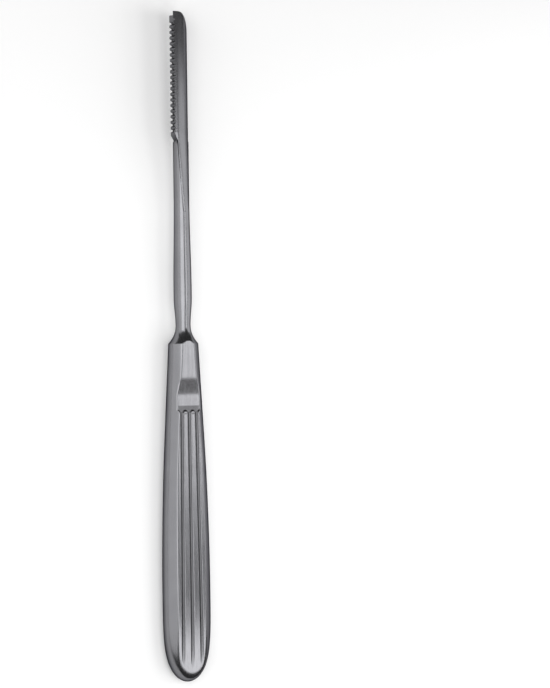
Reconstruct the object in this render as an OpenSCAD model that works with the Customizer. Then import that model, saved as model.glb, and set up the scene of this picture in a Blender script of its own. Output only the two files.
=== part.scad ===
// Nasal rasp, forged and turned from one bar of stainless steel.
// The handle is a turned drop with two milled flats and eased edges, a thumb rest and
// three grooves on each flat. The shank runs into a crescent head with transverse teeth.
// +Y points to the toothed tip, +Z out of the thumb rest, -X to the toothed side.
// The origin is the middle of the footprint, on the surface that the rasp lies on.

/* [Overall] */
// Overall length from the butt of the handle to the tip
total_len = 210; // [195:1:250]
// Angle from the thumb rest's face round to the toothed face
face_angle = 109; // [95:1:120]

/* [Handle] */
// Length of the handle from its butt to the edge of the shoulder
handle_len = 106.4; // [98:0.1:115]
// Largest diameter, at the belly
belly_d = 15.6; // [13.5:0.1:18]
// Distance of the belly from the butt
belly_from_butt = 30; // [22:1:38]
// Diameter at the edge of the shoulder
neck_d = 9.6; // [8.6:0.1:11]
// Bluntness of the butt, where 2 is an ellipse
butt_fullness = 4.2; // [2.5:0.1:6]
// Half of the handle's thickness over the flats, at the shoulder
flat_neck = 3.85; // [3.4:0.05:4.2]
// Half of the handle's thickness over the flats, at the butt
flat_butt = 4.6; // [4.2:0.05:5.2]
// Length over which each flat curves down to the butt
heel_len = 22; // [16:1:28]
// How far each flat curves down at the butt
heel_drop = 0.8; // [0.5:0.05:1.2]
// Slope of the eased edges beside each flat
ease_angle = 35; // [28:1:42]
// Distance of an eased edge from the axis, at the shoulder
ease_neck = 4.75; // [4.3:0.05:4.75]
// Distance of an eased edge from the axis, from the belly to the butt
ease_belly = 6.4; // [5.9:0.05:7]

/* [Grip] */
// Number of grooves on each flat
groove_n = 3; // [1:1:3]
// Width of a groove
groove_w = 1.05; // [0.6:0.05:1.3]
// Depth of a groove
groove_depth = 0.5; // [0.3:0.05:0.52]
// Pitch of the grooves at their upper ends
pitch_top = 2.5; // [2.2:0.05:2.8]
// Pitch of the grooves at the butt
pitch_butt = 3.3; // [2.6:0.05:3.8]
// Distance of the grooves' upper ends from the butt
groove_top = 85.4; // [60:0.1:88]

/* [Thumb rest] */
// Length of the thumb rest along the handle
rest_len = 11; // [7:0.5:14]
// Depth of the thumb rest
rest_depth = 0.65; // [0.4:0.05:1]
// Distance of the thumb rest's middle from the upper ends of the grooves
rest_from_grooves = 4.6; // [3:0.1:7]

/* [Shank] */
// Diameter below the head
shank_d = 4.9; // [4.2:0.1:5.6]
// Diameter at the swell above the waist
swell_d = 5.74; // [5:0.02:6.6]
// Diameter at the waist
waist_d = 4.72; // [4:0.02:5.4]
// Length of the hollow shoulder, from its edge to the waist
shoulder_len = 5.7; // [4.5:0.1:8]
// Distance from the waist up to the swell
swell_rise = 9; // [6:0.5:12]
// Length over which the swell fades into the shank
swell_fade = 31; // [20:1:34]

/* [Head] */
// Length of the head up to the step behind its last tooth
head_len = 37.8; // [30:0.1:44]
// Radius of the smooth back
back_r = 6.3; // [5.6:0.05:7]
// Thickness of the wall in the middle of the crescent
wall = 2.6; // [1.8:0.05:3.2]
// Radius of the toothed face
face_r = 8.45; // [7.6:0.05:10]
// Height of the horns above the middle of the back
horn_h = 5; // [4.2:0.05:5.4]
// Length of the rounding at the tip, along the back
tip_round_len = 7; // [4:0.1:10]
// Depth of the rounding at the tip
tip_round_h = 3; // [2:0.1:3.6]

/* [Teeth] */
// Pitch of the teeth
tooth_pitch = 1.775; // [1.2:0.025:2.4]
// Depth of the cuts between the teeth
tooth_depth = 0.5; // [0.3:0.05:0.7]
// Width of a tooth's crest
crest_w = 0.35; // [0.1:0.05:0.5]
// Width of the bottom of a cut
root_w = 0.3; // [0.1:0.05:0.5]
// Distance from the tip to the middle of the first tooth
first_tooth = 1.75; // [1:0.05:3]

/* [Wings behind the head] */
// Length over which the back tapers into the shank
wing_len = 25; // [18:0.5:30]
// Length of the step behind the last tooth
step_len = 2.6; // [1.5:0.1:4]
// Drop of the horns at the step
step_drop = 1.25; // [0.6:0.05:1.8]
// Drop of the wings from the step to their far ends
wing_drop = 1.6; // [1:0.05:2.2]

/* [Hidden] */
$fn = 96;
// Facets of the largest rounds, and of small ones.
fine = 180;
coarse = 32;
// Steps in the outline of the butt and of the taper, of the swell, of its fade and of the tip.
outline_steps = 14;
swell_steps = 8;
fade_steps = 10;
tip_steps = 10;
// Planes that make up each flat's curve at the butt.
heel_steps = 4;
// Shares of the taper's length that bend it near the belly and near the shoulder, and the
// share of its straight slope that is left there.
belly_bend = 0.38;
neck_bend = 0.32;
neck_slope = 0.4;
// Share of the eased edges' narrowing that is done by the middle of the taper.
ease_early = 0.25;

// Cutters run this far past what they cut.
past = 1;
// The back of the head stands this much proud of the shank, which the wings sink below.
skin = 0.02;

belly_r = belly_d / 2;
neck_r = neck_d / 2;
shank_r = shank_d / 2;
waist_r = waist_d / 2;
swell_r = swell_d / 2;

// Places along the axis, from the butt at 0 to the tip at total_len.
waist_y = handle_len + shoulder_len;
swell_y = waist_y + swell_rise;
shank_y = swell_y + swell_fade;
head_y = total_len - head_len;
wing_y = head_y - wing_len;
rest_y = groove_top + rest_from_grooves;

// Slope of each flat, and the angle by which the outer grooves spread.
flat_slope = atan((flat_butt - flat_neck) / handle_len);
groove_spread = atan((pitch_butt - pitch_top) / groove_top);

// Heights on the head, from the axis towards the toothed side.
back_t = -(shank_r + skin);
floor_t = back_t + wall;
horn_t = back_t + horn_h;
horn_u = sqrt(pow(back_r, 2) - pow(back_r + back_t - horn_t, 2));

// The rasp rests where its back flat begins to curve, and on the lower horn at the head's end.
horn_drop = horn_u * sin(face_angle) - horn_t * cos(face_angle);
heel_z = mix(flat_butt, flat_neck, heel_len / handle_len);
lean = atan((horn_drop - heel_z) / (head_y - heel_len));
rest_height = heel_z * cos(lean) - heel_len * sin(lean);
mid_y = (total_len * cos(lean) + horn_drop * sin(lean)) / 2;

function mix(a, b, u) = a + (b - a) * u;
function ease(u) = (1 - cos(180 * u)) / 2;
function cubic(p, u) = pow(1 - u, 3) * p[0] + 3 * pow(1 - u, 2) * u * p[1]
    + 3 * (1 - u) * pow(u, 2) * p[2] + pow(u, 3) * p[3];

// Half of the thickness over the flats at a place y on the handle.
function flat_at(y) = mix(flat_butt, flat_neck, y / handle_len)
    - heel_drop * pow(max(0, 1 - y / heel_len), 2);

// Radius of the blunt butt at a distance y from its end.
function butt_r(y) = belly_r * sqrt(1 - pow(1 - y / belly_from_butt, butt_fullness));

// Half outline of everything turned, as points of radius and place along the axis.
function butt_points(n) = [
    for (i = [0:n])
        let (y = belly_from_butt * pow(i / n, 2))
            [butt_r(y), y]
];
function taper_points(n) = let (
    run = handle_len - belly_from_butt,
    slim = (belly_r - neck_r) / run,
    bend = [
        [belly_r, belly_from_butt],
        [belly_r, belly_from_butt + belly_bend * run],
        [neck_r + neck_slope * slim * run, handle_len - neck_bend * run],
        [neck_r, handle_len]
    ]
) [for (i = [1:n]) cubic(bend, i / n)];
function blend_points(r_a, r_b, y_a, y_b, n) = [
    for (i = [1:n])
        [mix(r_a, r_b, ease(i / n)), mix(y_a, y_b, i / n)]
];

// Places its children, drawn along +Z, along the axis of the rasp.
module along_axis() {
    rotate([-90, 0, 0])
        children();
}

// Places a section of the head, with its toothed side to +X, at its true angle.
module at_face_angle() {
    along_axis()
        rotate([0, 0, 270 - face_angle])
            children();
}

// Everything turned. The shoulder is an arc from its edge into the waist.
module turned_bar() {
    drop = neck_r - waist_r;
    shoulder_r = (pow(shoulder_len, 2) + pow(drop, 2)) / (2 * drop);
    along_axis()
        rotate_extrude()
            difference() {
                polygon(concat(
                    butt_points(outline_steps),
                    taper_points(outline_steps),
                    [[neck_r, waist_y], [waist_r, waist_y]],
                    blend_points(waist_r, swell_r, waist_y, swell_y, swell_steps),
                    blend_points(swell_r, shank_r, swell_y, shank_y, fade_steps),
                    [
                        [shank_r, head_y - step_len],
                        [shank_r / 2, head_y - step_len / 2],
                        [0, head_y - step_len / 2]
                    ]
                ));
                translate([waist_r + shoulder_r, waist_y])
                    circle(r = shoulder_r, $fn = fine);
            }
}

// A slab of two flats, at a distance from the axis that follows the given line.
module flats(angle, line) {
    other = [for (i = [len(line) - 1:-1:0]) [line[i][0], -line[i][1]]];
    rotate([0, angle, 0])
        rotate([90, 0, 90])
            linear_extrude(height = 3 * belly_r, center = true)
                polygon(concat(line, other));
}

// The thumb rest, cut across one flat by a round cutter.
module thumb_rest() {
    cutter_r = (pow(rest_len / 2, 2) + pow(rest_depth, 2)) / (2 * rest_depth);
    translate([0, rest_y, flat_at(rest_y) + cutter_r - rest_depth])
        rotate([0, 90, 0])
            cylinder(r = cutter_r, h = 3 * belly_r, center = true, $fn = fine);
}

// Half-round grooves in the upper flat, which spread towards the butt.
module grooves() {
    cutter_r = (pow(groove_w / 2, 2) + pow(groove_depth, 2)) / (2 * groove_depth);
    for (i = [0:groove_n - 1]) {
        side = i - (groove_n - 1) / 2;
        translate([side * pitch_top, groove_top, flat_at(groove_top) + cutter_r - groove_depth])
            rotate([90 - flat_slope, 0, 0])
                rotate([0, -side * groove_spread, 0])
                    cylinder(r = cutter_r, h = groove_top + past, $fn = coarse);
    }
}

// Ledge at the grooves' depth between thumb rest and lands, which leaves the lands' noses.
module nose_ledge() {
    land_w = pitch_top - groove_w;
    reach = groove_n * pitch_top;
    translate([0, groove_top, flat_at(groove_top) - groove_depth])
        linear_extrude(height = 2 * groove_depth)
            difference() {
                translate([-reach, -land_w / 2])
                    square([2 * reach, rest_from_grooves + land_w / 2]);
                for (i = [-groove_n:groove_n - 1]) {
                    translate([(i + 0.5 + (groove_n - 1) % 2 / 2) * pitch_top, -land_w / 2])
                        circle(d = land_w, $fn = coarse);
                }
            }
}

module handle_and_shank() {
    far = head_y;
    mid = (belly_from_butt + handle_len) / 2;
    difference() {
        intersection() {
            turned_bar();
            flats(0, concat(
                [[-past, flat_at(-past)]],
                [
                    for (i = [0:heel_steps])
                        let (y = heel_len * i / heel_steps)
                            [y, flat_at(y)]
                ],
                [[handle_len, flat_neck], [far, flat_neck]]
            ));
            intersection_for (side = [-1, 1]) {
                flats(side * ease_angle, [
                    [-past, ease_belly],
                    [belly_from_butt, ease_belly],
                    [mid, mix(ease_belly, ease_neck, ease_early)],
                    [handle_len, ease_neck],
                    [far, ease_neck]
                ]);
            }
        }
        thumb_rest();
        nose_ledge();
        grooves();
        rotate([0, 180, 0])
            grooves();
    }
}

// Side outline of the head and its wings, as points of height and place along the axis.
module head_outline() {
    top_t = horn_t - step_drop;
    polygon(concat(
        [
            [back_t - past, wing_y],
            [top_t - wing_drop, wing_y],
            [top_t, head_y - step_len],
            [horn_t, head_y],
            [horn_t, total_len]
        ],
        [
            for (a = [90:-90 / tip_steps:0])
                [
                    back_t + tip_round_h * (1 - cos(a)),
                    total_len - tip_round_len + tip_round_len * sin(a)
                ]
        ],
        [[back_t - past, total_len - tip_round_len]]
    ));
}

// A cone that lies along the back and narrows the head into the shank.
module wing_cone() {
    run = head_y - wing_y;
    slope = atan((back_r - shank_r) / run);
    reach = 1 + head_len / run + past / run;
    small_r = (shank_r - skin) * cos(slope);
    big_r = mix(small_r, back_r * cos(slope), reach);
    translate([0, 0, wing_y])
        rotate([0, slope, 0])
            cylinder(r1 = small_r, r2 = big_r, h = reach * run / cos(slope), $fn = fine);
}

module head_blank() {
    at_face_angle()
        intersection() {
            translate([back_r + back_t, 0, wing_y])
                cylinder(r = back_r, h = wing_len + head_len, $fn = fine);
            wing_cone();
            rotate([90, 0, 0])
                linear_extrude(height = 3 * back_r, center = true)
                    head_outline();
        }
}

// One round cutter with a comb of rings, which leaves the teeth across the face.
module toothed_cutter() {
    slant = (tooth_pitch - crest_w - root_w) / 2;
    last = floor((head_len - first_tooth - crest_w) / tooth_pitch);
    run_out = step_len;
    at_face_angle()
        translate([floor_t + face_r, 0, 0])
            rotate_extrude($fn = fine)
                polygon(concat(
                    [
                        [0, total_len + past],
                        [face_r, total_len + past],
                        [face_r, total_len - first_tooth + crest_w / 2]
                    ],
                    [
                        for (i = [0:last - 1])
                            let (y = total_len - first_tooth - i * tooth_pitch - crest_w / 2)
                                for (p = [[0, 0], [1, slant], [1, slant + root_w], [0, 2 * slant + root_w]])
                                    [face_r + p[0] * tooth_depth, y - p[1]]
                    ],
                    [
                        [face_r, head_y],
                        [face_r - run_out / 2, head_y - run_out],
                        [0, head_y - run_out]
                    ]
                ));
}

module rasp() {
    color("#a9a9ab")
        translate([0, -mid_y, rest_height])
            rotate([lean, 0, 0])
                union() {
                    handle_and_shank();
                    difference() {
                        head_blank();
                        toothed_cutter();
                    }
                }
}

rasp();
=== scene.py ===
"""Studio picture of a nasal rasp of satin stainless steel, lying on a pale floor.

Lengths are in millimetres until a mesh is made, and then in metres. +Y points from the
handle's butt to the toothed tip, +Z out of the thumb rest and -X to the toothed side.
"""

import logging
import math
from dataclasses import dataclass, field

import bpy
import numpy as np
from mathutils import Matrix, Vector


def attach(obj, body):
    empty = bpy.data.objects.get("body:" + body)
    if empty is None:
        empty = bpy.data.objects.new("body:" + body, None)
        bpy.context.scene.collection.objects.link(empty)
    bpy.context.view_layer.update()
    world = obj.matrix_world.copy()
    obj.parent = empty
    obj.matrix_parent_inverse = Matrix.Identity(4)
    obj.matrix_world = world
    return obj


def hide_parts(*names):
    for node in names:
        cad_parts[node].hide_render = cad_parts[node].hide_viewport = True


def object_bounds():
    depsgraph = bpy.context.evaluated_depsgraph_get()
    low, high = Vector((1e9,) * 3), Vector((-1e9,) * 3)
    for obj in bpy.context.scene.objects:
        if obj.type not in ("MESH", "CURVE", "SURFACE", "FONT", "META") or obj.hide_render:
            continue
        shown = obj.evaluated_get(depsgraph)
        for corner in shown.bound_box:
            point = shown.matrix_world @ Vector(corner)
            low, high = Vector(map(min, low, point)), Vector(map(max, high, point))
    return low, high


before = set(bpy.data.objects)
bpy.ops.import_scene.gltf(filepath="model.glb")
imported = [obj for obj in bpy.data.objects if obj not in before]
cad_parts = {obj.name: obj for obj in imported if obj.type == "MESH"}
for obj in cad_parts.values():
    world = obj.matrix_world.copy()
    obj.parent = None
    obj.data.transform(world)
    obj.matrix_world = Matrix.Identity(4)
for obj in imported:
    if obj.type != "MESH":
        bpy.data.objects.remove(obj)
CAD_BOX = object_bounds()

LOG = logging.getLogger("rasp")
MM = 0.001
RECESS = "recess"


# Small helpers.


def linear(hex_code: str) -> tuple[float, float, float, float]:
    """Turns an sRGB colour into the linear one that the shaders work in.

    Args:
        hex_code: The colour as "#rrggbb".

    Returns:
        Red, green, blue and an alpha of 1.
    """
    parts = [int(hex_code[i:i + 2], 16) / 255 for i in (1, 3, 5)]
    red, green, blue = (c / 12.92 if c <= 0.04045 else ((c + 0.055) / 1.055) ** 2.4 for c in parts)
    return red, green, blue, 1.0


def mix(a: np.ndarray | float, b: np.ndarray | float, u: np.ndarray | float) -> np.ndarray | float:
    """The value a share u of the way from a to b."""
    return a + (b - a) * u


def ease(u: np.ndarray | float) -> np.ndarray | float:
    """A smooth rise from 0 to 1 with level ends."""
    return (1 - np.cos(np.pi * np.clip(u, 0, 1))) / 2


def soft_min(a: np.ndarray | float, b: np.ndarray | float, width: np.ndarray | float) -> np.ndarray:
    """The lower of two values, rounded over where they differ by less than width."""
    near = np.clip(width - np.abs(a - b), 0, None) / width
    return np.minimum(a, b) - near * near * width / 4


def spread_rows(stops: list[tuple[float, float]]) -> np.ndarray:
    """Places along the axis, closer together where the form changes quickly.

    Args:
        stops: Pairs of the place where a stretch ends and the spacing inside it. The first
            pair gives the start.

    Returns:
        The places, from the first stop to the last.
    """
    rows = [stops[0][0]]
    for (start, _), (end, step) in zip(stops, stops[1:]):
        count = max(1, round((end - start) / step))
        rows.extend(start + (end - start) * (i + 1) / count for i in range(count))
    return np.array(rows)


def mesh_object(name: str, points: np.ndarray, faces: list[tuple[int, ...]],
                recess: np.ndarray | None = None) -> bpy.types.Object:
    """Makes a smooth-shaded object from points in millimetres.

    Args:
        name: Name of the object and its mesh.
        points: One row of x, y, z for each vertex.
        faces: Vertex numbers of each face, counter-clockwise from outside.
        recess: For each vertex, how deep it lies in a groove or cut, from 0 to 1; the steel darkens its colour
            there as painted shade.

    Returns:
        The object, linked into the scene.
    """
    mesh = bpy.data.meshes.new(name)
    mesh.from_pydata((points * MM).tolist(), [], faces)
    mesh.validate()
    mesh.shade_smooth()
    if recess is not None:
        layer = mesh.attributes.new(RECESS, "FLOAT", "POINT")
        layer.data.foreach_set("value", recess.astype(np.float32))
    obj = bpy.data.objects.new(name, mesh)
    bpy.context.scene.collection.objects.link(obj)
    return obj


def loop_faces(rows: int, columns: int) -> list[tuple[int, ...]]:
    """Faces between neighbouring closed loops of the same number of points."""
    return [
        (i * columns + j, i * columns + (j + 1) % columns,
         (i + 1) * columns + (j + 1) % columns, (i + 1) * columns + j)
        for i in range(rows - 1) for j in range(columns)
    ]


# The whole rasp.


@dataclass(frozen=True)
class Lie:
    """How the rasp lies: on its back flat, where that begins to curve, and on the lower horn."""

    total_len: float = 210.0
    face_angle: float = math.radians(109)
    belly_r: float = 7.8
    belly_y: float = 30.0
    butt_fullness: float = 4.2
    handle_len: float = 106.4
    flat_butt: float = 4.6
    flat_neck: float = 3.85
    heel_len: float = 22.0
    heel_drop: float = 0.8
    back_r: float = 6.3
    back_t: float = -2.47
    horn_h: float = 5.0
    head_y: float = 172.2

    @property
    def horn_drop(self) -> float:
        """How far the lower horn reaches below the axis."""
        horn_u = math.sqrt(self.back_r ** 2 - (self.back_r - self.horn_h) ** 2)
        horn_t = self.back_t + self.horn_h
        return horn_u * math.sin(self.face_angle) - horn_t * math.cos(self.face_angle)

    @property
    def heel_z(self) -> float:
        """Distance from the axis to a flat where it begins to curve down to the butt."""
        return mix(self.flat_butt, self.flat_neck, self.heel_len / self.handle_len)

    @property
    def lean(self) -> float:
        """Angle by which the axis rises towards the tip, in radians."""
        return math.atan((self.horn_drop - self.heel_z) / (self.head_y - self.heel_len))

    def placed(self, points: np.ndarray) -> np.ndarray:
        """Moves points from the rasp's own axis, with the butt at 0, to where it lies.

        Args:
            points: Rows of x, y, z, with y along the rasp's axis.

        Returns:
            The same points in the row frame, in millimetres.
        """
        cos, sin = math.cos(self.lean), math.sin(self.lean)
        rest_height = self.heel_z * cos - self.heel_len * sin
        mid_y = (self.total_len * cos + self.horn_drop * sin) / 2
        x, y, z = points.T
        return np.stack([x, y * cos - z * sin - mid_y, y * sin + z * cos + rest_height], axis=1)


# Steel.


def add_node(tree: bpy.types.NodeTree, kind: str, links: dict[str, bpy.types.NodeSocket] | None = None,
             **settings: object) -> bpy.types.Node:
    """Adds a shader node.

    Args:
        tree: The material's node tree.
        kind: Type name of the node, such as "ShaderNodeMath".
        links: Output sockets to link in, by the name or number of the input.
        settings: Attributes of the node, or values of inputs with in_ before their number.

    Returns:
        The new node.
    """
    node = tree.nodes.new(kind)
    for key, value in settings.items():
        if key.startswith("in_"):
            node.inputs[int(key[3:])].default_value = value
        else:
            setattr(node, key, value)
    for key, socket in (links or {}).items():
        target = node.inputs[int(key)] if key.isdigit() else node.inputs[key]
        tree.links.new(socket, target)
    return node


@dataclass(frozen=True)
class SatinSteel:
    """Martensitic stainless steel, forged and turned, then brushed to a satin finish.

    The brushing runs along the rasp. It spreads each highlight sideways and leaves faint
    lengthwise streaks.
    """

    name: str = "satin_stainless_steel"
    colour: str = "#7e7e81"
    edge_colour: str = "#606062"
    roughness: float = 0.23
    roughness_spread: float = 0.08
    # Real brush lines are about 0.05 mm wide, too fine to show, so they are drawn wider.
    line_width_mm: float = 0.3
    line_len_mm: float = 14.0
    line_depth_mm: float = 0.003
    cloud_mm: float = 9.0
    # Painted shade: the colour is darkened in grooves and between teeth, where shade falls in them.
    recess_shade_tone: float = 0.45

    def make(self) -> bpy.types.Material:
        """Builds the material.

        Returns:
            The material, ready to be put on a piece.
        """
        material = bpy.data.materials.new(self.name)
        material.use_nodes = True
        tree = material.node_tree
        shader = tree.nodes["Principled BSDF"]
        shader.inputs["Metallic"].default_value = 1.0
        shader.inputs["Specular Tint"].default_value = linear(self.edge_colour)
        place = add_node(tree, "ShaderNodeTexCoord").outputs["Object"]
        across = 1 / (self.line_width_mm * MM)
        lines_scale = (across, 1 / (self.line_len_mm * MM), across)
        stretched = add_node(tree, "ShaderNodeMapping", {"0": place}, in_3=lines_scale)
        lines = add_node(tree, "ShaderNodeTexNoise", {"0": stretched.outputs[0]}, in_2=1.0, in_3=3.0, in_4=0.6)
        clouds = add_node(tree, "ShaderNodeTexNoise", {"0": place}, in_2=1 / (self.cloud_mm * MM), in_3=2.0)
        height = lines.outputs[0]
        rough = add_node(tree, "ShaderNodeMapRange", {"0": height}, in_1=0.3, in_2=0.7,
                         in_3=self.roughness - self.roughness_spread / 2,
                         in_4=self.roughness + self.roughness_spread / 2)
        tree.links.new(rough.outputs[0], shader.inputs["Roughness"])
        deep = add_node(tree, "ShaderNodeAttribute", attribute_name=RECESS).outputs["Fac"]
        worn = add_node(tree, "ShaderNodeMapRange", {"0": clouds.outputs[0]},
                        in_1=0.3, in_2=0.7, in_3=0.94, in_4=1.04)
        # Painted shade: the deeper a point lies in a groove or tooth cut, the darker its colour.
        recess_painted_shade = add_node(tree, "ShaderNodeMapRange", {"0": deep}, in_3=1.0, in_4=self.recess_shade_tone)
        tone = add_node(tree, "ShaderNodeMath", {"0": worn.outputs[0], "1": recess_painted_shade.outputs[0]}, operation="MULTIPLY")
        colour = add_node(tree, "ShaderNodeMix", {"0": tone.outputs[0]}, data_type="RGBA")
        colour.inputs[6].default_value = (0, 0, 0, 1)
        colour.inputs[7].default_value = linear(self.colour)
        colour.clamp_factor = False
        tree.links.new(colour.outputs[2], shader.inputs["Base Color"])
        bump = add_node(tree, "ShaderNodeBump", {"Height": height})
        bump.inputs["Distance"].default_value = self.line_depth_mm * MM
        bump.inputs["Strength"].default_value = 0.35
        tree.links.new(bump.outputs[0], shader.inputs["Normal"])
        return material


# Handle and shank.


@dataclass
class HandleAndShank:
    """The turned drop with its two flats, grooves and thumb rest, and the round shank."""

    lie: Lie = field(default_factory=Lie)
    neck_r: float = 4.8
    ease_angle: float = math.radians(35)
    ease_neck: float = 4.75
    ease_belly: float = 6.4
    ease_early: float = 0.25
    taper_start: float = 0.38
    taper_end: float = 0.32
    taper_lift: float = 0.4
    groove_w: float = 1.05
    groove_depth: float = 0.5
    groove_lip: float = 0.2
    pitch_top: float = 2.5
    pitch_butt: float = 3.3
    groove_top: float = 85.4
    rest_len: float = 11.0
    rest_depth: float = 0.65
    rest_bottom: float = 0.9
    rest_from_grooves: float = 4.6
    shank_r: float = 2.45
    swell_r: float = 2.87
    waist_r: float = 2.36
    shoulder_len: float = 5.7
    swell_rise: float = 9.0
    swell_fade: float = 31.0
    step_len: float = 2.6
    # How far each edge is rubbed over by the brushing.
    flat_edge: float = 0.2
    heel_edge: float = 1.2
    heel_edge_len: float = 22.0
    ease_edge: float = 1.4
    front_ease_edge: float = 1.8
    cut_edge: float = 0.14

    @property
    def waist_y(self) -> float:
        """Place of the waist."""
        return self.lie.handle_len + self.shoulder_len

    @property
    def rest_y(self) -> float:
        """Place of the middle of the thumb rest."""
        return self.groove_top + self.rest_from_grooves

    def taper_outline(self) -> tuple[np.ndarray, np.ndarray]:
        """The drop's outline from belly to shoulder.

        Returns:
            Places along the axis, and the radius at each.
        """
        run = self.lie.handle_len - self.lie.belly_y
        slim = (self.lie.belly_r - self.neck_r) / run
        radii = (self.lie.belly_r, self.lie.belly_r, self.neck_r + self.taper_lift * slim * run, self.neck_r)
        places = (self.lie.belly_y, self.lie.belly_y + self.taper_start * run,
                  self.lie.handle_len - self.taper_end * run, self.lie.handle_len)
        u = np.linspace(0, 1, 200)
        weights = ((1 - u) ** 3, 3 * (1 - u) ** 2 * u, 3 * (1 - u) * u ** 2, u ** 3)
        return (sum(w * p for w, p in zip(weights, places)), sum(w * r for w, r in zip(weights, radii)))

    def turned_r(self, y: np.ndarray) -> np.ndarray:
        """Radius of everything turned, at places y along the axis."""
        lie = self.lie
        drop = self.neck_r - self.waist_r
        arc_r = (self.shoulder_len ** 2 + drop ** 2) / (2 * drop)
        swell_y = self.waist_y + self.swell_rise
        shank_y = swell_y + self.swell_fade
        end_y = lie.head_y - self.step_len
        butt = lie.belly_r * np.sqrt(1 - np.clip(1 - y / lie.belly_y, 0, 1) ** lie.butt_fullness)
        taper = np.interp(y, *self.taper_outline())
        shoulder = self.waist_r + arc_r - np.sqrt(np.clip(arc_r ** 2 - (self.waist_y - y) ** 2, 0, None))
        swell = mix(self.waist_r, self.swell_r, ease((y - self.waist_y) / self.swell_rise))
        fade = mix(self.swell_r, self.shank_r, ease((y - swell_y) / self.swell_fade))
        end = self.shank_r * (1 - np.clip((y - end_y) / self.step_len, 0, 0.5))
        stretches = [y < lie.belly_y, y < self.lie.handle_len, y < self.waist_y, y < swell_y, y < shank_y]
        return np.select(stretches, [butt, taper, shoulder, swell, fade], end)

    def flat_z(self, y: np.ndarray) -> np.ndarray:
        """Distance of each flat from the axis, which shrinks in a curve towards the butt."""
        lie = self.lie
        plane = mix(lie.flat_butt, lie.flat_neck, np.clip(y / lie.handle_len, 0, 1))
        return plane - lie.heel_drop * np.clip(1 - y / lie.heel_len, 0, 1) ** 2

    def groove_fade(self, y: np.ndarray) -> np.ndarray:
        """How much the grooves' depth shrinks where the flats curve away under them."""
        lie = self.lie
        sunk = lie.heel_drop * np.clip(1 - y / lie.heel_len, 0, 1) ** 2
        return np.clip(1 - sunk / self.groove_depth, 0, 1)

    def ease_z(self, y: np.ndarray) -> np.ndarray:
        """Distance of each eased edge's plane from the axis."""
        middle = (self.lie.belly_y + self.lie.handle_len) / 2
        places = (self.lie.belly_y, middle, self.lie.handle_len)
        return np.interp(y, places, (self.ease_belly, mix(self.ease_belly, self.ease_neck, self.ease_early),
                                     self.ease_neck))

    def groove_section(self) -> tuple[np.ndarray, np.ndarray]:
        """Cross-section of a groove with its rubbed lips.

        Returns:
            Offsets from the groove's middle, and the depth at each.
        """
        half = self.groove_w / 2
        round_r = (half ** 2 + self.groove_depth ** 2) / (2 * self.groove_depth)
        lip = self.groove_lip
        turn = np.linspace(-1, 1, 15) * math.radians(62)
        x = round_r * np.sin(turn)
        depth = round_r * np.cos(turn) - (round_r - self.groove_depth)
        outer = np.array([half + lip * 1.5, half + lip * 0.8, half + lip * 0.25])
        outer_depth = np.array([0.0, 0.02, 0.07])
        x = np.concatenate([-outer, x, outer[::-1]])
        depth = np.concatenate([outer_depth, depth, outer_depth[::-1]])
        return x, depth

    def columns(self, y: np.ndarray) -> tuple[np.ndarray, np.ndarray]:
        """Directions round the axis in which the surface is worked out, which follow the grooves.

        Args:
            y: Places along the axis.

        Returns:
            For each place and column over a quarter turn and back: the angle from the flat's
            middle, and the depth of the grooves there.
        """
        section, section_depth = self.groove_section()
        reach = section[-1]
        pitch = mix(self.pitch_butt, self.pitch_top, np.clip(y / self.groove_top, 0, 1))[:, None]
        above = (y - self.groove_top) / (self.lie.handle_len - self.groove_top)
        shrink = mix(1.0, 0.78, np.clip(above, 0, 1))[:, None]
        flat, eased, radius = self.flat_z(y)[:, None], self.ease_z(y)[:, None], self.lie.belly_r
        land = ease(np.linspace(0, 1, 10))[1:-1]
        half = len(section) // 2
        inner = section[half:] * shrink
        gap = mix(reach, pitch - reach, land) * shrink
        outer = (pitch + section) * shrink
        edge = np.maximum((eased - flat * math.cos(self.ease_angle)) / math.sin(self.ease_angle),
                          outer[:, -1:] + 0.3)
        rim = mix(outer[:, -1:], edge, ease(np.linspace(0, 1, 9))[1:])
        across = np.concatenate([np.broadcast_to(inner, (len(y), len(inner[0]))), gap, outer, rim], axis=1)
        depth = np.concatenate([section_depth[half:], np.zeros(len(land)), section_depth,
                                np.zeros(rim.shape[1])])
        on_flat = np.arctan2(across, flat)
        turn = on_flat[:, -1:]
        corner = self.ease_angle + np.arccos(np.clip(eased / radius, -1, 1))
        corner = np.maximum(corner, turn + 0.15)
        over = mix(turn, corner, np.linspace(0, 1, 13)[1:])
        side = mix(corner, math.pi / 2, np.linspace(0, 1, 9)[1:])
        angle = np.concatenate([on_flat, over, side], axis=1)
        depth = np.concatenate([depth, np.zeros(over.shape[1] + side.shape[1])])
        return angle, depth

    @staticmethod
    def plane_r(angle: np.ndarray, middle: float, distance: np.ndarray) -> np.ndarray:
        """Distance from the axis to a plane, along each direction.

        Args:
            angle: Directions round the axis.
            middle: Direction of the plane's normal.
            distance: Distance of the plane from the axis.

        Returns:
            The distances, or a large one where the plane isn't met.
        """
        facing = np.cos(angle - middle)
        return np.where(facing > 0.05, distance / np.maximum(facing, 0.05), 99.0)

    def cut_depth(self, x: np.ndarray, y: np.ndarray, groove: np.ndarray) -> np.ndarray:
        """Depth of everything milled into the front flat.

        Args:
            x: Distances from the flat's middle.
            y: Places along the axis.
            groove: Depth that the grooves have in that column.

        Returns:
            Depth below the flat, which is negative where the cutter is above it.
        """
        land_w = self.pitch_top - self.groove_w
        nose_r = land_w / 2
        from_land = (np.abs(x) % self.pitch_top) - self.pitch_top / 2
        nose_end = self.groove_top - nose_r + np.sqrt(np.clip(nose_r ** 2 - from_land ** 2, 0, None))
        ledge = self.groove_depth * ease((y - nose_end + 0.25) / 0.6)
        grooved = np.where(y < self.groove_top, groove, groove * 0)
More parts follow.
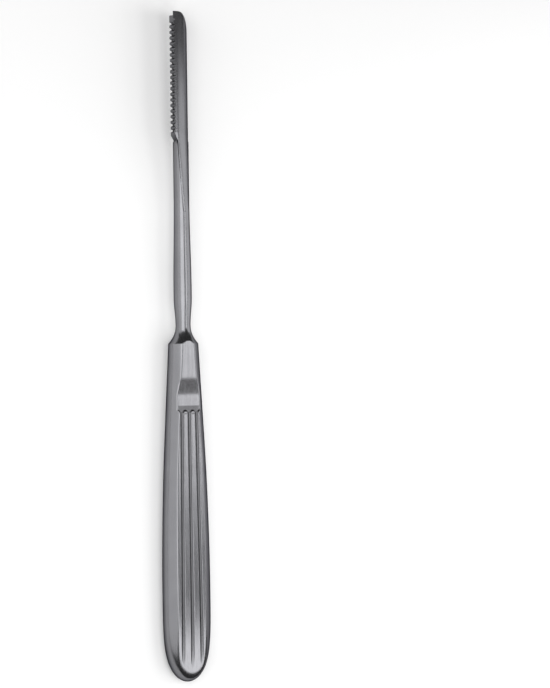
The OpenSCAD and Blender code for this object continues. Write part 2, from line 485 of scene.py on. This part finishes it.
        # The thumb rest has two nearly flat slopes with a round bottom between them.
        half = self.rest_len / 2
        fall = np.hypot(y - self.rest_y, self.rest_bottom) - self.rest_bottom
        rest = self.rest_depth * (1 - fall / (half - self.rest_bottom / 2))
        floor = np.where(y < self.rest_y, np.maximum(ledge, grooved), 0)
        rest = np.where(y > self.groove_top - 1, rest, -1)
        return -soft_min(-floor, -rest, self.cut_edge)

    def surface(self, y: np.ndarray) -> np.ndarray:
        """Points of the skin in closed loops.

        Args:
            y: Places of the loops.

        Returns:
            Points as an array of loops, columns and x, y, z.
        """
        quarter, groove = self.columns(y)
        angle = np.concatenate([quarter, math.pi - quarter[:, -2::-1]], axis=1)
        groove = np.concatenate([groove, groove[-2::-1]])
        angle = np.concatenate([angle, 2 * math.pi - angle[:, -2:0:-1]], axis=1)
        groove = np.concatenate([groove, groove[-2:0:-1]])
        place = y[:, None]
        flat, eased, turned = self.flat_z(place), self.ease_z(place), self.turned_r(place)
        radius = np.broadcast_to(turned, angle.shape)
        for middle in (self.ease_angle, -self.ease_angle):
            radius = soft_min(radius, self.plane_r(angle, middle, eased), self.front_ease_edge)
        for middle in (math.pi - self.ease_angle, math.pi + self.ease_angle):
            radius = soft_min(radius, self.plane_r(angle, middle, eased), self.ease_edge)
        # The front flat is rubbed well over its end at the butt.
        heel = mix(self.flat_edge, self.heel_edge, ease((self.heel_edge_len - place) / self.heel_edge_len))
        radius = soft_min(radius, self.plane_r(angle, 0.0, flat), heel)
        radius = soft_min(radius, self.plane_r(angle, math.pi, flat), self.flat_edge)
        crown = soft_min(turned, flat, heel)
        # Where nothing is milled, as on the shank, the section stays a plain circle.
        milled = np.clip((turned - flat + 0.6) / 0.6, 0, 1)
        radius = mix(turned, radius, milled)
        x, z = radius * np.sin(angle), radius * np.cos(angle)
        front = z > 0
        grooved = np.broadcast_to(groove, angle.shape)
        grooved = grooved * self.groove_fade(place)
        depth = np.where(front, self.cut_depth(x, place, grooved),
                         np.where(place < self.groove_top, grooved, 0))
        limit = np.where(front, crown - depth, flat - np.maximum(depth, 0))
        size = soft_min(np.abs(z), limit, self.cut_edge * 0.3)
        size = np.where(depth > -0.2, size, np.abs(z))
        size = np.where(np.abs(z) < 0.5, np.abs(z), size)
        # The recess value darkens the steel's colour as painted shade, in the grooves and just past them.
        recess_painted_shade = place < self.groove_top + 1.5
        self.recess = np.clip((np.abs(z) - size) / self.groove_depth, 0, 1) * recess_painted_shade
        return np.stack([x, np.broadcast_to(place, x.shape), np.sign(z) * size], axis=2)

    def build(self) -> bpy.types.Object:
        """Makes the mesh.

        Returns:
            The handle and shank as one piece.
        """
        lie = self.lie
        butt = lie.belly_y * (np.arange(1, 34) / 48) ** 2
        body = spread_rows([
            (butt[-1], 0), (lie.belly_y, 1.0), (83.6, 1.6), (86.4, 0.1), (94.4, 0.4), (97.4, 0.15),
            (self.lie.handle_len - 1, 0.9), (self.lie.handle_len + 0.4, 0.1), (self.waist_y, 0.25),
            (self.waist_y + self.swell_rise, 0.6), (160, 1.3), (lie.head_y - self.step_len, 1.2),
            (lie.head_y - self.step_len / 2, 0.26),
        ])
        rows = np.concatenate([butt, body[1:]])
        loops = self.surface(rows)
        count, columns = loops.shape[:2]
        skin = loops.reshape(-1, 3)
        ends = np.array([[0, 0, 0], [0, rows[-1], 0]])
        points = lie.placed(np.concatenate([skin, ends]))
        faces = loop_faces(count, columns)
        last = (count - 1) * columns
        faces += [(count * columns, (j + 1) % columns, j) for j in range(columns)]
        faces += [(count * columns + 1, last + j, last + (j + 1) % columns) for j in range(columns)]
        recess = np.concatenate([self.recess.ravel(), [0.0, 0.0]])
        return mesh_object("handle_and_shank", points, faces, recess)


# Head.


@dataclass
class Head:
    """The crescent head with its rows of teeth, and the wings that run back from it."""

    lie: Lie = field(default_factory=Lie)
    shank_r: float = 2.45
    skin: float = 0.02
    wall: float = 2.6
    face_r: float = 8.45
    tip_round_len: float = 7.0
    tip_round_h: float = 3.0
    tooth_pitch: float = 1.775
    tooth_depth: float = 0.5
    crest_w: float = 0.35
    root_w: float = 0.3
    first_tooth: float = 1.75
    wing_len: float = 25.0
    step_len: float = 2.6
    step_drop: float = 1.25
    wing_drop: float = 1.6
    half_columns: int = 30

    @property
    def horn_t(self) -> float:
        """Height of the horns."""
        return self.lie.back_t + self.lie.horn_h

    @property
    def wing_y(self) -> float:
        """Place where the wings end in the shank."""
        return self.lie.head_y - self.wing_len

    def face_radius(self, y: np.ndarray) -> np.ndarray:
        """Radius of the hollow face, which is larger in the cuts between the teeth.

        Args:
            y: Places along the axis.

        Returns:
            The radius at each, or 0 behind the run-out of the cutter.
        """
        slant = (self.tooth_pitch - self.crest_w - self.root_w) / 2
        last = math.floor((self.lie.total_len - self.lie.head_y - self.first_tooth - self.crest_w)
                          / self.tooth_pitch)
        from_crest = self.lie.total_len - self.first_tooth - y
        phase = np.abs((from_crest / self.tooth_pitch + 0.5) % 1 - 0.5) * self.tooth_pitch
        cut = np.clip((phase - self.crest_w / 2) / slant, 0, 1)
        cut = mix(cut, ease(cut), 0.6)
        inside = (from_crest > 0) & (from_crest < last * self.tooth_pitch)
        run_out = np.clip((self.lie.head_y - y) / self.step_len, 0, 1)
        radius = self.face_r + self.tooth_depth * cut * inside - run_out * self.step_len / 2
        return np.where(y < self.lie.head_y - self.step_len, 0, radius)

    def top_plane(self, y: np.ndarray) -> np.ndarray:
        """Height of the horns, the step and the wings."""
        step_y = self.lie.head_y - self.step_len
        return np.interp(y, (self.wing_y, step_y, self.lie.head_y),
                         (self.horn_t - self.step_drop - self.wing_drop, self.horn_t - self.step_drop,
                          self.horn_t))

    def back(self, u: np.ndarray, y: np.ndarray) -> np.ndarray:
        """Height of the smooth back.

        Args:
            u: Distances across, from the middle.
            y: Places along the axis.

        Returns:
            The height at each.
        """
        taken = np.clip((y - self.wing_y) / self.wing_len, 0, 1)
        radius = mix(self.shank_r - self.skin, self.lie.back_r, taken)
        low = mix(self.lie.back_t + 2 * self.skin, self.lie.back_t + 0.11, taken)
        arc = low + radius - np.sqrt(np.clip(radius ** 2 - u ** 2, 0, None))
        into = np.clip((y - (self.lie.total_len - self.tip_round_len)) / self.tip_round_len, 0, 1)
        tip = self.lie.back_t + self.tip_round_h * (1 - np.sqrt(1 - into ** 2))
        return -soft_min(-arc, -tip, 0.5)

    def face(self, u: np.ndarray, y: np.ndarray) -> np.ndarray:
        """Height of the toothed face, or of the plane behind it."""
        radius = self.face_radius(y)
        middle = self.lie.back_t + self.wall + self.face_r
        hollow = middle - np.sqrt(np.clip(radius ** 2 - u ** 2, 0, None))
        hollow = np.where(radius > 0, hollow, 99.0)
        return soft_min(hollow, np.broadcast_to(self.top_plane(y), hollow.shape), 0.06)

    def half_width(self, y: np.ndarray) -> np.ndarray:
        """Distance across at which back and face meet, found by halving."""
        low, high = np.zeros_like(y), np.full_like(y, self.lie.back_r)
        high = np.minimum(high, mix(self.shank_r - self.skin, self.lie.back_r,
                                    np.clip((y - self.wing_y) / self.wing_len, 0, 1)))
        for _ in range(40):
            middle = (low + high) / 2
            open_there = self.back(middle, y) < self.face(middle, y)
            low, high = np.where(open_there, middle, low), np.where(open_there, high, middle)
        return low

    def rows(self) -> np.ndarray:
        """Places of the loops: even on the wings, close on the teeth and at the tip."""
        lie = self.lie
        wings = spread_rows([(self.wing_y, 0), (lie.head_y - self.step_len, 0.6),
                             (lie.head_y, 0.2)])
        per_tooth = 14
        count = round((lie.total_len - lie.head_y) / self.tooth_pitch * per_tooth)
        teeth = np.linspace(lie.head_y, lie.total_len, count + 1)[1:]
        return np.concatenate([wings, teeth])

    def build(self) -> bpy.types.Object:
        """Makes the mesh.

        Returns:
            The head and its wings as one piece.
        """
        y = self.rows()
        width = self.half_width(y)[:, None]
        share = np.sin(np.linspace(-1, 1, 2 * self.half_columns + 1) * math.pi / 2)
        u = width * share[None, :]
        place = np.broadcast_to(y[:, None], u.shape)
        low, high = self.back(u, place), self.face(u, place)
        high = np.maximum(high, low + 0.01)
        across = np.concatenate([u, u[:, -2:0:-1]], axis=1)
        height = np.concatenate([low, high[:, -2:0:-1]], axis=1)
        along = np.concatenate([place, place[:, -2:0:-1]], axis=1)
        turn = self.lie.face_angle
        x = -height * math.sin(turn) + across * math.cos(turn)
        z = height * math.cos(turn) + across * math.sin(turn)
        points = self.lie.placed(np.stack([x, along, z], axis=2).reshape(-1, 3))
        count, columns = across.shape
        faces = loop_faces(count, columns)
        faces += self.cap_faces(0, columns, True) + self.cap_faces((count - 1) * columns, columns, False)
        # Painted shade: the cuts between the teeth are darkened in the steel's colour through the recess value.
        cut = np.clip((self.face_radius(place) - self.face_r) / self.tooth_depth, 0, 1)
        recess = np.concatenate([np.zeros_like(low), cut[:, -2:0:-1]], axis=1).ravel()
        return mesh_object("head", points, faces, recess)

    def cap_faces(self, start: int, columns: int, towards_butt: bool) -> list[tuple[int, ...]]:
        """Faces that close the first or last loop, between its back and its face.

        Args:
            start: Number of the loop's first point.
            columns: Number of points in the loop.
            towards_butt: True for the end on the handle's side.

        Returns:
            The faces.
        """
        pairs = [(start + j, start + (columns - j) % columns) for j in range(columns // 2 + 1)]
        faces = []
        for (a, b), (c, d) in zip(pairs, pairs[1:]):
            corners = [a, b, d, c] if towards_butt else [a, c, d, b]
            faces.append(tuple(dict.fromkeys(corners)))
        return faces


# Studio.


@dataclass(frozen=True)
class Camera:
    """A long lens, square to the rasp and a little to the left of the thumb rest's face."""

    photo_height_mm: float = 216.1
    distance_mm: float = 750.0
    sensor_mm: float = 36.0
    side_angle: float = math.radians(24.5)
    roll: float = math.radians(1.1)
    aim_right_mm: float = 28.6
    aim_up_mm: float = 1.2

    def make(self, middle: Vector) -> bpy.types.Object:
        """Makes the scene's camera.

        Args:
            middle: Middle of the rasp, in metres.

        Returns:
            The camera.
        """
        data = bpy.data.cameras.new("camera")
        data.sensor_width = self.sensor_mm
        data.lens = self.sensor_mm * self.distance_mm / self.photo_height_mm
        # The rasp is left of the frame's middle, so the lens turns a little further to see it at its angle.
        turned = self.side_angle + math.atan(self.aim_right_mm / self.distance_mm)
        back = Vector((-math.sin(turned), 0, math.cos(turned)))
        up = Vector((0, 1, 0))
        right = up.cross(back)
        turn = Matrix.Rotation(self.roll, 3, back)
        up, right = turn.inverted() @ up, turn.inverted() @ right
        camera = bpy.data.objects.new("camera", data)
        axes = Matrix((right, up, back)).transposed().to_4x4()
        aim = middle + (right * self.aim_right_mm + up * self.aim_up_mm) * MM
        axes.translation = aim + back * self.distance_mm * MM
        camera.matrix_world = axes
        bpy.context.scene.collection.objects.link(camera)
        bpy.context.scene.camera = camera
        return camera


@dataclass(frozen=True)
class SoftBox:
    """A rectangular lamp aimed at the rasp.

    side is its angle from overhead towards +X, and ahead its tilt towards the tip.
    """

    name: str
    side: float
    ahead: float
    width_deg: float
    length_deg: float
    radiance: float
    distance_mm: float = 700.0

    def make(self, middle: Vector) -> None:
        """Makes the lamp.

        Args:
            middle: Middle of the rasp, in metres.
        """
        side, ahead = math.radians(self.side), math.radians(self.ahead)
        towards = Vector((math.sin(side) * math.cos(ahead), math.sin(ahead), math.cos(side) * math.cos(ahead)))
        across = Vector((math.cos(side), 0, -math.sin(side)))
        along = towards.cross(across)
        data = bpy.data.lights.new(self.name, "AREA")
        data.shape = "RECTANGLE"
        distance = self.distance_mm * MM
        data.size = 2 * distance * math.tan(math.radians(self.width_deg) / 2)
        data.size_y = 2 * distance * math.tan(math.radians(self.length_deg) / 2)
        data.energy = self.radiance * math.pi * data.size * data.size_y
        lamp = bpy.data.objects.new(self.name, data)
        axes = Matrix((across, along, towards)).transposed().to_4x4()
        axes.translation = middle + towards * distance
        lamp.matrix_world = axes
        bpy.context.scene.collection.objects.link(lamp)


@dataclass
class Studio:
    """The floor, the room and the lamps."""

    floor_colour: str = "#f8f8f8"
    floor_glow: float = 0.12
    room_colour: str = "#545454"
    room_strength: float = 1.0
    floor_mm: float = 4000.0
    lamps: tuple[SoftBox, ...] = (
        SoftBox("key", side=-22, ahead=3, width_deg=46, length_deg=44, radiance=2.7, distance_mm=450),
        SoftBox("face_light", side=25, ahead=0.5, width_deg=15, length_deg=23, radiance=2.9, distance_mm=450),
        SoftBox("left_fill", side=-67, ahead=3, width_deg=44, length_deg=56, radiance=1.3),
        SoftBox("right_fill", side=64, ahead=0, width_deg=50, length_deg=46, radiance=1.5, distance_mm=260),
        SoftBox("butt_fill", side=18, ahead=-34, width_deg=50, length_deg=18, radiance=3.0, distance_mm=300),
    )

    def make(self, middle: Vector) -> None:
        """Makes floor, room and lamps.

        Args:
            middle: Middle of the rasp, in metres.
        """
        half = self.floor_mm / 2
        corners = np.array([[-half, -half, 0], [half, -half, 0], [half, half, 0], [-half, half, 0]])
        floor = mesh_object("floor", corners, [(0, 1, 2, 3)])
        paper = bpy.data.materials.new("matt_paper")
        paper.use_nodes = True
        shader = paper.node_tree.nodes["Principled BSDF"]
        shader.inputs["Base Color"].default_value = linear(self.floor_colour)
        shader.inputs["Roughness"].default_value = 0.9
        shader.inputs["Specular IOR Level"].default_value = 0.0
        # The paper shows whiter than it lights, to the eye and in the steel alike.
        rays = add_node(paper.node_tree, "ShaderNodeLightPath").outputs
        seen = add_node(paper.node_tree, "ShaderNodeMath",
                        {"0": rays["Is Camera Ray"], "1": rays["Is Glossy Ray"]}, operation="ADD")
        seen = add_node(paper.node_tree, "ShaderNodeMath",
                        {"0": seen.outputs[0], "1": rays["Is Transmission Ray"]}, operation="ADD", use_clamp=True)
        glow = add_node(paper.node_tree, "ShaderNodeMath", {"0": seen.outputs[0]}, operation="MULTIPLY",
                        in_1=self.floor_glow)
        shader.inputs["Emission Color"].default_value = (1, 1, 1, 1)
        paper.node_tree.links.new(glow.outputs[0], shader.inputs["Emission Strength"])
        floor.data.materials.append(paper)
        world = bpy.data.worlds.new("room")
        world.use_nodes = True
        background = world.node_tree.nodes["Background"]
        background.inputs[0].default_value = linear(self.room_colour)
        background.inputs[1].default_value = self.room_strength
        bpy.context.scene.world = world
        for lamp in self.lamps:
            lamp.make(middle)


def main() -> None:
    """Builds the studio and the rasp."""
    logging.basicConfig(level=logging.INFO, format="%(name)s: %(message)s")
    bpy.context.scene.view_settings.view_transform = "Standard"
    low, high = CAD_BOX
    middle = Vector(((low.x + high.x) / 2, (low.y + high.y) / 2, (low.z + high.z) / 2))
    Camera().make(middle)
    Studio().make(middle)
    steel = SatinSteel().make()
    for part in (HandleAndShank(), Head()):
        piece = part.build()
        piece.data.materials.append(steel)
        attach(piece, "root")
        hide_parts("rasp")
        LOG.info("%s: %d faces", piece.name, len(piece.data.polygons))


if __name__ == "__main__":
    main()
